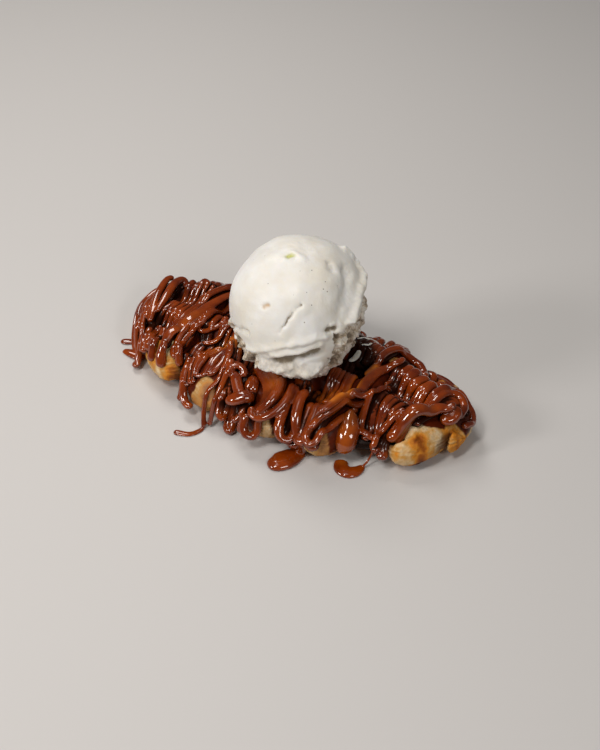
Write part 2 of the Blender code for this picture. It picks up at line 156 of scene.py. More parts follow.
def centre_line(x):
    """The line along the middle of the plan: it bows towards -Y as a square does."""
    return BOW_OFFSET + BOW_RISE * ((x - BOW_FROM) / BOW_REACH) ** 2


def off_bar(distance, flat, foot):
    """0 on the crest of a bar, rising to 1 on the floor of the pocket beside it."""
    return smoothstep((distance - flat) / (foot - flat))


def under_pocket(x, y):
    """How deep in a pocket of the underside (x, y) lies, from 0 to 1: off a bar both ways, in turned axes."""
    cos, sin = math.cos(GRID_TURN), math.sin(GRID_TURN)
    depth = 1
    for place, pitch in ((x * cos + y * sin, PITCH_ALONG), (y * cos - x * sin, PITCH_ACROSS)):
        depth = depth * off_bar(np.abs(place - np.round(place / pitch) * pitch), BAR_FLAT, BAR_FOOT)
    return depth


def top_pocket(x, y):
    """The same for the top, from the distances to the nearest long bar and the nearest cross bar."""
    from_long = np.min([np.abs(y - np.interp(x, *np.transpose(bar) * MM)) for bar in LONG_BARS], axis=0)
    from_cross = np.min([np.abs(x - CROSS_SLANT * y - start * MM) for start in CROSS_BARS], axis=0)
    return off_bar(from_long, TOP_FLAT, TOP_FOOT) * off_bar(from_cross, TOP_FLAT, TOP_FOOT)


def lobe(x, side):
    """1 at the middle of a lobe of the edge and 0 in the gaps: the highest of a row of rounded humps."""
    height = np.zeros(np.shape(x))
    for near, far in zip(FRONT_LOBES, FAR_LOBES):
        middle, half = (np.where(side > 0, far[k], near[k]) * MM for k in (0, 1))
        hump = np.maximum(1 - np.abs((x - middle) / half) ** LOBE_POWER, 0) ** LOBE_ROUNDING
        height = np.maximum(height, hump)
    return height


def half_width(x, side):
    """Half the plan's width on one side: a long superellipse, drawn in at the gaps between the lobes."""
    plain = WIDTH / 2 * np.sqrt(np.maximum(1 - end_share(x) ** PLAN_POWER, 1e-6))
    plain = plain * np.where(side > 0, FAR_SHARE, 1)
    draw_in = np.where(side > 0, FAR_GAP, FRONT_GAP) * (1 - lobe(x, side))
    return plain - draw_in * smoothstep(plain / (WIDTH / 4))


def across_share(x, y):
    """Where y lies between the centre line, 0, and the edge on its side, 1 or -1."""
    offset = y - centre_line(x)
    return offset / half_width(x, np.sign(offset))


def end_round(x):
    """1 along the pastry, falling steeply to 0 at both ends, as a superellipse does."""
    return np.sqrt(np.maximum(1 - end_share(x) ** END_POWER, 0))


def crest_height(x):
    """How high the bars reach: a little lower towards both ends."""
    return HEIGHT + (END_HEIGHT - HEIGHT) * end_share(x) ** 2


def edge_height(x):
    """The height at which the upper and the lower side meet."""
    return EDGE_SHARE * crest_height(x)


def top_height(x, y):
    """The upper surface: a flat crown, rounded at the edge and lower in the gaps, less the iron's pockets."""
    share = np.clip(np.abs(across_share(x, y)), 0, 1)
    gap = (1 - lobe(x, np.sign(y - centre_line(x)))) * smoothstep((share - GAP_FROM) / GAP_OVER)
    crown = np.sqrt(1 - share**CROWN_POWER) * end_round(x) * (1 - GAP_FALL * gap)
    edge = edge_height(x)
    depth = POCKET_DEPTH * top_pocket(x, y) * smoothstep((1 - share) / POCKET_RIM) * end_round(x)
    return edge + (crest_height(x) - edge) * crown - depth


def under_height(x, y):
    """The underside: level bars at z = 0, shallower pockets between them, and mouths under the gaps."""
    share = np.clip(np.abs(across_share(x, y)), 0, 1)
    crown = np.sqrt(1 - share**CROWN_POWER) * end_round(x)
    mouth = (1 - lobe(x, np.sign(y - centre_line(x)))) * smoothstep((share - MOUTH_FROM) / MOUTH_OVER)
    pocket = under_pocket(x, y) * (1 - smoothstep((share - UNDER_TO) / UNDER_FADE))
    curve = np.maximum(edge_height(x) * (1 - crown) - FLAT_CUT, 0)
    roof = MOUTH_ROOF * edge_height(x) + (1 - MOUTH_ROOF) * curve
    return np.minimum(curve + UNDER_DEPTH * np.maximum(pocket, mouth) * end_round(x), roof)


def spread(count, crowding):
    """Values from -1 to 1, crowded towards both ends as the sine of an even angle is."""
    even = np.linspace(-1, 1, count)
    return (1 - crowding) * even + crowding * np.sin(even * math.pi / 2)


def new_piece(name, points, faces):
    """A mesh object at the origin, from an array of points and arrays of three- or four-cornered faces."""
    corners = np.concatenate([part.ravel() for part in faces])
    sizes = np.concatenate([np.full(len(part), part.shape[1]) for part in faces])
    mesh = bpy.data.meshes.new(name)
    mesh.vertices.add(len(points))
    mesh.vertices.foreach_set("co", np.ascontiguousarray(points, np.float32).ravel())
    mesh.loops.add(len(corners))
    mesh.loops.foreach_set("vertex_index", corners.astype(np.int32))
    mesh.polygons.add(len(sizes))
    starts = np.concatenate([[0], np.cumsum(sizes)[:-1]])
    mesh.polygons.foreach_set("loop_start", starts.astype(np.int32))
    mesh.update(calc_edges=True)
    mesh.validate()
    mesh.shade_smooth()
    made = bpy.data.objects.new(name, mesh)
    bpy.context.scene.collection.objects.link(made)
    return made


def ring_faces(count, around):
    """Faces of a skin over a row of rings, and of the fans that shut its ends round two added points."""
    i, j = np.meshgrid(np.arange(count - 1), np.arange(around), indexing="ij")
    a, b = (i * around + j).ravel(), (i * around + (j + 1) % around).ravel()
    sides = np.stack([a, b, b + around, a + around], axis=1)
    j = np.arange(around)
    after, last = (j + 1) % around, (count - 1) * around
    first_fan = np.stack([after, j, np.full(around, count * around)], axis=1)
    last_fan = np.stack([last + j, last + after, np.full(around, count * around + 1)], axis=1)
    return sides, np.concatenate([first_fan, last_fan])


def close_rings(rings):
    """The points of a row of rings, with the middle of the first and of the last ring added at the end."""
    return np.concatenate([rings.reshape(-1, 3), [rings[0].mean(0), rings[-1].mean(0)]])


def outward(rings):
    """Unit normals of a grid that closes round its second direction, from its neighbours' differences."""
    along = np.gradient(rings, axis=0)
    round_it = np.roll(rings, -1, axis=1) - np.roll(rings, 1, axis=1)
    normal = np.cross(round_it, along)
    return normal / np.maximum(np.linalg.norm(normal, axis=2, keepdims=True), 1e-12)


def store(made, name, values):
    """Keeps one number for each of a mesh's points, for its material to read."""
    attribute = made.data.attributes.new(name, "FLOAT", "POINT")
    attribute.data.foreach_set("value", np.asarray(values, np.float32).ravel())


def sauce_cover(points):
    """Where a film of chocolate lies: above a ragged line round the side, save on the bare places."""
    x, y, z = np.moveaxis(points, -1, 0)
    ragged = FILM_RAGGED * rough(points, FILM_GRAIN, 11)
    bare = np.zeros(x.shape)
    for middle_x, middle_y, half_x, half_y in BARE:
        away = np.hypot((x / MM - middle_x) / half_x, (y / MM - middle_y) / half_y)
        bare = np.maximum(bare, smoothstep((BARE_REACH - away + ragged) / FILM_EDGE))
    line = FILM_LINE + FILM_LINE_RISE * smoothstep((y - centre_line(x)) / BEHIND_OVER)
    line = line + FILM_LINE_WANDER * rough(points, FILM_GRAIN, 12)
    return (1 - bare) * smoothstep((z - line) / FILM_FADE)


def edge_layers(points, share):
    """Ridges where the dough's layers show round the edge: a sine of the height, warped and broken."""
    near_edge = smoothstep((np.abs(share) - LAYER_FROM) / LAYER_OVER)
    whole = smoothstep(LAYER_WHOLE + LAYER_BREAKS * unevenness(points, LAYER_BREAK_SIZE, 4))
    warped = points[..., 2] + LAYER_WARP * unevenness(points, LAYER_WARP_SIZE, 3)
    warped = warped + LAYER_SLANT * points[..., 1]
    return (np.abs(np.sin(math.pi * warped / LAYER_PITCH)) - LAYER_FLOOR) * near_edge * whole


def make_pastry():
    """Sections across X, each over the top from front to back and back underneath, raised along the normal by
    a crust and by thin layers round the edge. The chocolate film lies proud and smooths both over."""
    x = (MIDDLE + spread(PASTRY_STATIONS, END_CROWDING) * (LENGTH / 2) * TIP_SHARE)[:, None]
    over, under = (spread(count + 1, EDGE_CROWDING) for count in (PASTRY_TOP, PASTRY_UNDER))
    share = np.concatenate([over[:-1], under[::-1][:-1]])[None, :]
    x, share = np.broadcast_arrays(x, share)
    y = centre_line(x) + share * half_width(x, np.sign(share))
    on_top = np.arange(share.shape[1]) < PASTRY_TOP
    z = np.where(on_top, top_height(x, y), under_height(x, y))
    rings = np.stack([x, y, z], axis=2)
    cover, layers, crust = sauce_cover(rings), edge_layers(rings, share), rough(rings, CRUST_SIZE, 5)
    above_foot = smoothstep((z - FOOT_HEIGHT) / FOOT_FADE)
    relief = (LAYER_DEPTH * layers + CRUST_DEPTH * crust) * (1 - FILM_SMOOTHING * cover) * above_foot
    rings = rings + outward(rings) * (relief + FILM_HEIGHT * cover)[..., None]
    made = new_piece("pastry", close_rings(rings), ring_faces(*rings.shape[:2]))
    blotch = smoothstep((unevenness(rings * BLOTCH_STRETCH, BLOTCH_SIZE, 21) + BLOTCH_SHARE) / BLOTCH_EDGE)
    # Darker low down: partly browning at the foot, partly painted shade near the floor.
    low = 1 - smoothstep((z - LOW_FROM) / LOW_FADE)
    # Painted shade over the middle of the length, darkening the bare lobes in front.
    middle_shade = smoothstep((x / MM - MIDDLE_SHADE_START[0]) / MIDDLE_SHADE_START[1])
    middle_shade = middle_shade * (1 - smoothstep((x / MM - MIDDLE_SHADE_END[0]) / MIDDLE_SHADE_END[1]))
    bake = BAKE_BASE + BAKE_BLOTCH * blotch + BAKE_LOW_AND_SHADE * low
    bake = bake + BAKE_LAYER * layers + BAKE_CRUST * crust + BAKE_MIDDLE_SHADE * middle_shade
    for middle_x, middle_y, reach, strength in BROWNED:
        away = np.hypot(x / MM - middle_x, y / MM - middle_y) / reach + 0.5 * rough(rings, 3 * MM, 23)
        bake = bake + strength * np.exp(-(away**2))
    # Painted shade in the gaps between the lobes of the edge.
    gap = (1 - lobe(x, np.sign(y - centre_line(x)))) * smoothstep((np.abs(share) - SHADE_FROM) / SHADE_OVER)
    store(made, "cover", np.append(cover, [0, 0]))
    store(made, "bake", np.append(bake, [0.5, 0.5]))
    store(made, "middle_shade", np.append(middle_shade * (0.55 + 0.45 * blotch), [0, 0]))
    store(made, "gap", np.append(smoothstep((gap - 0.2) / 0.5), [0, 0]))
    return made


class Tone:
    """One socket in a material's nodes. Arithmetic on it adds Math nodes, and node() adds any other kind."""

    def __init__(self, tree, socket=None):
        self.tree, self.socket = tree, socket

    def node(self, kind, feeds, output=0, **settings):
        """Adds a node: its settings first, a ramp's stops among them, and then what feeds its sockets."""
        made = self.tree.nodes.new("ShaderNode" + kind)
        for stop_index, (place, colour) in enumerate(settings.pop("stops", [])):
            ramp = made.color_ramp.elements
            stop = ramp[stop_index] if stop_index < len(ramp) else ramp.new(place)
            stop.position, stop.color = place, (*colour, 1)
        for name, value in settings.items():
            setattr(made, name, value)
        for name, value in feeds.items():
            if isinstance(value, Tone):
                self.tree.links.new(value.socket, made.inputs[name])
            else:
                made.inputs[name].default_value = value
        return Tone(self.tree, made.outputs[output])

    def sum(self, operation, first, second):
        """A Math node."""
        return self.node("Math", {0: first, 1: second}, operation=operation)

    def __add__(self, other):
        return self.sum("ADD", self, other)

    __radd__ = __add__

    def __sub__(self, other):
        return self.sum("SUBTRACT", self, other)

    def __rsub__(self, other):
        return self.sum("SUBTRACT", other, self)

    def __mul__(self, other):
        return self.sum("MULTIPLY", self, other)

    __rmul__ = __mul__

    def stored(self, name):
        """The number kept under a name for each point of the mesh."""
        return self.node("Attribute", {}, output="Fac", attribute_name=name)

    def between(self, low, high):
        """0 up to low and 1 from high, with an S between them."""
        feeds = {"Value": self, "From Min": low, "From Max": high}
        return self.node("MapRange", feeds, interpolation_type="SMOOTHSTEP")

    def grain(self, scale, detail=3.0, roughness=0.55):
        """Noise in space, from 0 to 1, with scale features to the metre."""
        feeds = {"Vector": self, "Scale": scale, "Detail": detail, "Roughness": roughness}
        return self.node("TexNoise", feeds)

    def ramp(self, *stops):
        """The colour of each value between a row of stops: (value, colour) each."""
        return self.node("ValToRGB", {"Fac": self}, stops=stops)

    def paint(self, over, share):
        """This colour, with another over it where share is 1."""
        over = over if isinstance(over, Tone) else (*over, 1)
        return self.node("Mix", {0: share, 6: self, 7: over}, output=2, data_type="RGBA")


def new_material(name, **fixed):
    """A material with one Principled BSDF. Returns it, the object's own coordinates and the shader."""
    material = bpy.data.materials.new(name)
    material.use_nodes = True
    tree = material.node_tree
    shader = tree.nodes["Principled BSDF"]
    for socket, value in fixed.items():
        shader.inputs[socket.replace("_", " ")].default_value = value
    place = Tone(tree).node("TexCoord", {}, output="Object")
    return material, place, shader


def connect(tone, shader, socket):
    """Feeds a socket of the shader."""
    tone.tree.links.new(tone.socket, shader.inputs[socket])


# Painted shade: the film under and between the strands is coloured far darker than their chocolate, and
# SHADED_DOUGH and SHADED_FILM paint shade in the gaps between the lobes.
CHOCOLATE_FILM_SHADE, CHOCOLATE_DARK = (0.05, 0.006, 0.001), (0.135, 0.015, 0.001)
MIDDLE_SHADED_DOUGH, SHADED_DOUGH, SHADED_FILM = (0.30, 0.205, 0.115), (0.10, 0.030, 0.010), (0.012, 0.004, 0.002)

material, place, shader = new_material(
    "baked_dough",
    Subsurface_Weight=0.10,
    Subsurface_Radius=(1.0, 0.5, 0.2),
    Subsurface_Scale=1.5 * MM,
    Specular_IOR_Level=0.14,
)
bake, cover, gap, middle_shade = (place.stored(name) for name in ("bake", "cover", "gap", "middle_shade"))
browning = bake + place.grain(420, 5) * 0.5 + place.grain(110, 3) * 0.5 - 0.53
dough = browning.ramp(
    (0.0, (0.76, 0.58, 0.35)),
    (0.24, (0.58, 0.31, 0.085)),
    (0.44, (0.64, 0.24, 0.022)),
    (0.72, (0.36, 0.095, 0.008)),
    (1.0, (0.09, 0.022, 0.004)),
)
# The film's colour: painted shade, darker still in the gaps between the lobes.
film = place.grain(120, 2).ramp((0.35, CHOCOLATE_FILM_SHADE), (0.75, CHOCOLATE_DARK)).paint(SHADED_FILM, gap)
# Painted shade: the bare lobes in the middle darker, and the gaps between the lobes darker still.
dough = dough.paint(MIDDLE_SHADED_DOUGH, middle_shade * 0.5).paint(SHADED_DOUGH, gap * 0.85)
connect(dough.paint(film, cover), shader, "Base Color")
connect(0.5 - 0.10 * cover, shader, "Roughness")
crust_bump = place.grain(900, 4) * (1 - cover)
bump = place.node("Bump", {"Height": crust_bump, "Strength": 0.6, "Distance": 0.5 * MM})
connect(bump, shader, "Normal")

pastry = make_pastry()
pastry.data.materials.append(material)
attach(pastry, "root")
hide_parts("croffle")


# --------------------------------------------------------------------
# The drizzle. Warm chocolate poured to and fro across the pastry from a narrow spout. Each strand drapes
# over the bars, sags into the pockets, and runs into those below it before it sets.

STEP, CELL = 0.7 * MM, 0.5 * MM
FIELD = ((-98 * MM, 96 * MM), (-64 * MM, 60 * MM))
SAG_RADIUS, SAG_ROUNDS, DRAPE_SLOPE = 4.5 * MM, 260, 2.4
SINK, WANDER, UNEVEN_PITCH = 0.30, 1.4 * MM, 0.48
SIDES, GUIDE_POINTS, CURVE_POINTS, RUN_POINTS = 16, 16, 16, 30
BEND_TURNS, REACH = 0.9, (-0.5, 1.5)
SWELL, SWELL_SIZE, BEAT, BEAT_RATE = 0.22, 8 * MM, 0.08, 2.3
COMB_END, LEAST_END, LOWEST, POOL_RISE = 2 * MM, 0.02, 0.05 * MM, 0.3
VOXEL, SOFTENING = 0.40 * MM, 8
SIDE_LIMITS = (-36 * MM, 36 * MM)

# Combs of strands poured to and fro: lines that they follow, in millimetres from the far end to the near
# end, each pass lying between one line and the next; then how many passes, and half a strand's width at
# the first and last.
COMBS = {
    "hidden": ([[(-30, 41), (-29, 20), (-31, 0)], [(2, 43), (2, 22), (0, -6)], [(17, 42), (17, 28),
      (17, 14)], [(43, 35), (40, 27), (38, 17)]], 24, 1.45, 1.45),
    "far_left": ([[(-68, 34), (-66, 28), (-65, 19)], [(-50, 38), (-52, 28), (-55, 18)]], 6, 1.3, 1.5),
    "left_end": ([[(-79, 30), (-86, 22), (-89.5, 12), (-89.5, 1), (-85, -8), (-79, -15)], [(-73, 27),
      (-77, 19), (-80, 9), (-79, 0), (-76, -8), (-71, -14)]], 6, 1.0, 1.1),
    "left_top": ([[(-72, 29), (-72, 19), (-74, 9), (-78, 1), (-80, -8)], [(-59, 26), (-60, 15), (-62, 5),
      (-63, -4), (-66, -11)]], 6, 1.3, 1.3),
    "left_front": ([[(-83, -4), (-80, -11), (-77, -17), (-76, -21)], [(-66, -7), (-67, -13), (-67, -17),
      (-66, -20)]], 6, 1.3, 1.4),
    "left_ridge": ([[(-51, 34), (-57, 22), (-60, 9), (-61, -3), (-61, -12), (-60, -19)], [(-46, 31),
      (-51, 18), (-53, 6), (-53, -7), (-53, -15), (-51, -23)]], 4, 1.2, 1.2),
    "beside_scoop": ([[(-46, 32), (-48, 14), (-51, 6), (-49, -5), (-48, -12)], [(-31, 28), (-32, 10),
      (-32, -1), (-34, -7), (-37, -13)]], 7, 1.15, 1.15),
    "left_apron": ([[(-50, -8), (-50, -15), (-48, -21), (-46, -27), (-44, -33)], [(-39, -8), (-41, -15),
      (-41, -21), (-40, -27), (-38, -31)], [(-27, -6), (-27, -13), (-27, -19), (-28, -24), (-29, -28)]],
        10, 1.1, 1.15),
    "foot_curls": ([[(-31, -4), (-29, -10), (-26, -17), (-24, -24)], [(-14, -8), (-14, -14), (-15, -20),
      (-16, -27)]], 7, 1.3, 1.5),
    "middle_curls": ([[(-24, -20), (-22, -27), (-21, -33), (-20, -38)], [(-7, -26), (-6, -32), (-6, -37),
      (-6, -41)]], 7, 1.4, 1.5),
    "middle_fall": ([[(8, -13), (10, -22), (12, -29), (13, -34), (13, -37)], [(18, -13), (18, -22),
      (20, -31), (21, -36), (21, -39)], [(36, -15), (32, -24), (31, -32), (31, -37), (31, -41)]], 8,
        1.75, 1.75),
    "right_of_scoop": ([[(17, 14), (19, 3), (20, -7), (22, -20)], [(30, 11), (30.5, 1), (31.5, -8),
      (33, -20)]], 8, 0.9, 1.0),
    "far_bar": ([[(50, 31), (48, 24), (46, 15), (44, 5)], [(60, 26), (57, 19), (55, 11), (53, 2)],
      [(72, 22), (67, 15), (64, 6), (61, -5)]], 6, 1.8, 1.9),
    "right_fall": ([[(46, 3), (44, -6), (44, -12), (46, -18), (47, -24)], [(53, -1), (51, -9), (51, -16),
      (53, -22), (54, -27)], [(63, -4), (60, -10), (58, -16), (58, -22), (59, -28)]], 6, 1.55, 1.6),
    "right_end": ([[(83, 9), (76, 15), (71, 12), (69, 2), (66, -8)], [(81, 0), (77, 4), (74, 1), (71, -6),
      (68, -13)]], 4, 1.6, 1.6),
}

# Broad flat runs over the combs, and single strands and ribbons over those: points along each in
# millimetres, then half its width from end to end. Those that hang free of what is under them have a
# height at each point too.
SHEETS = {
    "fall": ([(-6.9, -12.8, 23.5), (-1.5, -20, 24.5), (2.6, -26.1, 24.2), (3.4, -31.4, 22),
      (2.4, -36.3, 19.5), (0.9, -39.3, 18)], (8.5, 7.6, 6.2, 5.2, 3.6, 2.2)),
    "wide_left": ([(-47, 33), (-49.9, 21.9), (-53.3, 8.3), (-56.1, -3.2), (-58.6, -11.1), (-59.5, -16.1),
      (-59, -22)], (1.6, 2.2, 2.9, 3.1, 2.7, 1.8)),
}
RIBBONS = {
    "slant_a": ([(-81.7, 25.2, 22), (-82.7, 20.9, 23), (-81.8, 13.3, 22.8), (-79.9, 6, 22),
      (-76.7, -3.1, 20.5), (-75.7, -7.4, 18.5)], (1.7, 2, 1.4)),
    "slant_b": ([(-71.6, 22.5, 20.5), (-76.2, 25.3, 22.5), (-77.1, 19, 24), (-76, 10.4, 23.8),
      (-75.1, 3.5, 22.8), (-74.9, -2.3, 21.5)], (1.6, 2.2, 2.1, 1.4)),
    "loop_a": ([(-38, 22), (-37, 9), (-37.5, 0), (-40.5, -6), (-45.5, -8.5)], (1.3, 1.6, 1.3)),
    "loop_b": ([(-43, 20), (-41.5, 9), (-42, 2), (-45.5, -2.5), (-51, -4)], (1.3, 1.6, 1.4)),
    "ridge": ([(-46, 30), (-48, 15), (-49.9, 0), (-53, -8.7), (-53.2, -14.9), (-51, -21), (-48.5, -25)],
      (1.5, 1.8, 2.0)),
    "left_blob": ([(-66, -15), (-65, -21), (-64, -25)], (1.5, 2.0, 2.2)),
    "left_drop": ([(-58.4, -20.2, 23.2), (-58.2, -23.2, 21.6), (-58, -25.4, 18.2), (-57, -27.2, 15),
      (-56.2, -28.4, 13)], (1.8, 2.1, 2.7, 2.6)),
    "apron_loop": ([(-46, -19), (-44, -26), (-42.5, -31), (-40, -35.5), (-37, -38), (-33.5, -38.5)],
      (1.5, 1.9, 2.1)),
    "drip_top": ([(-29, -10), (-25, -19), (-25, -28), (-27, -35), (-27, -39), (-25, -43)],
      (1.6, 1.3, 1.2, 1.3)),
    "drip_twin": ([(-20, -24), (-22, -31), (-23, -37), (-23, -41)], (1.7, 1.4, 1.2)),
    "curl": ([(-18.9, -28.2, 24), (-20.1, -25, 25.5), (-18.1, -22.5, 26), (-14.8, -23.3, 25),
      (-13.7, -25.8, 23)], (1.5, 1.9, 1.6)),
    "lump": ([(-19.2, -25.1, 24.2), (-16.1, -28.2, 22.3), (-13, -31.6, 20.3), (-9.9, -33.8, 19.2)],
      (1.8, 2.7, 2.7, 2.2)),
    "plate": ([(-16.5, -37.8, 16.5), (-12.2, -36.3, 18.6), (-8.3, -33.7, 19.8), (-4, -32.7, 18.8)],
      (2.2, 3.6, 3.8, 2.6)),
    "front_loop": ([(-3.2, -40.5, 17), (-3.5, -42.6, 14.5), (-3.3, -44.3, 11.5), (-1.2, -45.5, 9),
      (1.4, -44.1, 8), (2.8, -42.7, 10.5), (2.7, -41.2, 14), (2.6, -39.8, 17)], (1.9, 2.3, 1.9)),
    "rope_inner": ([(4.2, -21.4, 27.2), (5.8, -28.9, 26.2), (5.1, -34.9, 24), (2.9, -38.9, 21),
      (1, -40.9, 19.5)], (2.0, 2.5, 1.9)),
    "rope_outer": ([(9.9, -21.5, 26), (11, -29.8, 24), (9.2, -35.9, 21), (5.7, -40.5, 18.8),
      (1.5, -41.8, 17.8), (-1.3, -40.6, 18.6), (-1.7, -38.3, 20.3)], (1.9, 2.3, 1.8)),
    "thin_back": ([(2.9, -41.6, 17), (6.2, -38, 18.4), (9.9, -33.4, 20.4), (13, -28.8, 22)],
      (1.2, 0.9, 0.8)),
    "u_loop": ([(11.9, -21, 25), (11.1, -26.5, 23.5), (11.5, -33.7, 20), (12.6, -40.1, 16),
      (14.7, -42.5, 12.5), (17.8, -41.5, 11), (19.2, -38.5, 12.5), (18.3, -34.4, 15.5)],
      (2.2, 2.5, 2.3, 1.9)),
    "feeder": ([(16.9, -21.1, 25), (16.3, -27, 23.5), (18.1, -34.1, 19.5), (20.5, -37.5, 14.5),
      (22.9, -38.3, 9), (22.8, -37, 4), (22.2, -36.6, 1.5)], (2.3, 2.6, 2.5, 2.7, 2.8)),
    "big_u": ([(34.9, -21.4), (31.9, -30), (28.7, -35.3), (26.7, -40.6), (29, -43.2), (31.5, -42),
      (33.1, -36), (36.4, -26.8), (39.7, -16)], (1.8, 1.9, 1.8)),
    "twin_sweep": ([(44, -10.5), (40, -16), (36.8, -20), (32.7, -29.7), (29, -36), (27.7, -40)],
      (1.6, 2.0, 2.0, 1.7)),
    "glow_ribbon": ([(46, 20), (45.1, 15.2), (39.2, 8.5), (37.3, -2.3), (37.7, -11.6), (33.9, -22.3),
      (32, -30.4), (29.3, -34.5)], (1.4, 2.4, 2.8, 2.6, 2.2, 1.6)),
    "cross": ([(36, -17), (40, -15), (44, -11), (46, -5), (48, 1)], (1.7, 1.5, 1.6)),
    "far_loop": ([(35, 2), (36, 12), (37, 21), (40, 28), (44, 31), (49, 31), (54, 27), (56, 22)],
      (1.7, 2.1, 2.1)),
    "end_outer": ([(84, 2), (86, 8), (84, 14), (79, 18), (73, 18.5), (69, 10), (66, 0), (64, -8)],
      (2.0, 1.9, 1.6)),
    "end_second": ([(82, 1), (82, 8), (78, 13), (73, 12), (70, 3), (68, -6), (65, -14), (62, -22)],
      (2.0, 2.0, 1.8)),
    "end_blob": ([(81, 4), (79, -2), (75, -4)], (3.2, 3.8, 3.4)),
    "end_wide": ([(79.8, 2), (77.4, -0.6), (73.9, -2.8), (69.1, -8.7), (64.5, -14.5), (61, -19),
      (59, -24)], (1.7, 2.6, 3.3, 3.4, 3.4, 3.2, 2.6)),
    "right_foot": ([(45, -11), (43.5, -17), (44.5, -22), (48, -25), (53, -26)], (1.4, 1.9, 1.7)),
    "front_drop": ([(39, -21.5), (40.5, -25.5), (41, -29), (40.6, -32), (40, -34)],
      (2.0, 4.0, 5.4, 5.8, 4.4)),
    "thread_feeder": ([(61, -11), (56, -17.4), (53.8, -22), (54.3, -27), (54, -29.5)], (1.5, 1.8, 1.6)),
}
DRIPS = {
    "long_drip": ([(-25, -42), (-26, -46), (-29, -50), (-36, -52)], (1.3, 1.7, 2.0)),
    "front_pool": ([(21.8, -33.5), (21.2, -36.5), (20, -40), (18, -44.3), (15.2, -47.8), (11.6, -49.4)],
      (3.0, 4.2, 5.4, 5.9, 5.4, 3.4)),
    "right_pool": ([(40.5, -31.5), (42.5, -36), (46.5, -37.5), (49.5, -34), (50.5, -29.5)],
      (3.2, 3.8, 3.4, 1.6)),
    "left_pool": ([(-84, -4), (-88, -6), (-92.6, -8.3)], (1.8, 2.2, 2.2)),
    "left_flick": ([(-75, -14), (-80, -13.6), (-84, -13.4), (-88, -13.4)], (2.6, 3.2, 2.8, 1.6)),
}
THREAD = [(53.5, -26, 9), (52.8, -27.5, 5.5), (52, -29, 3), (51, -30.5, 1.5)]
THREAD_RADIUS = 0.65 * MM

# Where the chocolate lies thin over the dough it is painted orange, partly the dough showing through and
# partly painted glow of light passing through the thin chocolate: lines in millimetres, how far it reaches
# from them, and how strongly it shows.
THIN_GLOW_LINES = (
    ([(36, 9), (33.2, 0.4), (34.4, -9.1), (34.6, -18.1), (32.2, -26.9)], 1.7, 1.0),
    ([(20, -15), (26, -16), (32, -17)], 4.0, 0.25),
    ([(-4, -12), (0, -20), (2, -26)], 3.5, 0.25),
    ([(40, -24), (42, -33)], 3.5, 0.2),
    ([(-55, 0), (-58, -10)], 2.5, 0.1),
    ([(-36, -8), (-24, -9)], 3.5, 0.4),
    ([(66, -16), (72, -6)], 2.5, 0.06),
)
# Chocolate colours: a lighter and a darker tone mixed at random, a painted orange glow where it is thin, and
# painted shade for the hollows.
CHOCOLATE_LIT, CHOCOLATE_THIN_GLOW = (0.295, 0.046, 0.002), (0.95, 0.27, 0.015)
CHOCOLATE_SHADE = (0.022, 0.005, 0.002)
STRAND_WIDTH, STRAND_HEIGHT, SHEET_HEIGHT, RIBBON_HEIGHT, POOL_HEIGHT = 1.30, 0.84, 0.40, 0.75, 0.5

# Painted shade in the hollows between strands: what counts as a hollow, two rounds of blending, and depths
# below the mean in millimetres.
NEAR_ROUNDS, NEAR_DEPTH, NEAR_FADE = 16, -0.1, 1.1
WIDE_ROUNDS, WIDE_DEPTH, WIDE_FADE, WIDE_SHARE = 300, 1, 6, 0.3
HOLLOW_FROM, HOLLOW_OVER, HOLLOW_SHARE = 7, 8, {"strands": 1, "ribbons": 0.3}
# The scoop's painted shadow on the chocolate: the scoop's middle in plan, the way the shadow falls, how far
# it reaches and fades in millimetres, and how dark it is.
SHADE_MIDDLE, SHADE_WAY, SHADE_REACH, SHADE_FADE, SHADE_STRENGTH = (0, 1.3), (0.6, 0.8), 40, 8, 0.97


def ground_height(x, y):
    """What a strand lands on: the pastry, then a steep fall beyond its edge to the surface it rests on."""
    over = (np.abs(across_share(x, y)) - 1) * half_width(x, np.sign(y - centre_line(x)))
    past_end = np.maximum(np.abs(x - MIDDLE) - LENGTH / 2, 0)
    outside = np.maximum(edge_height(x) - DRAPE_SLOPE * np.hypot(np.maximum(over, 0), past_end), 0)
    return np.where((over < 0) & (past_end == 0), top_height(x, y), outside)


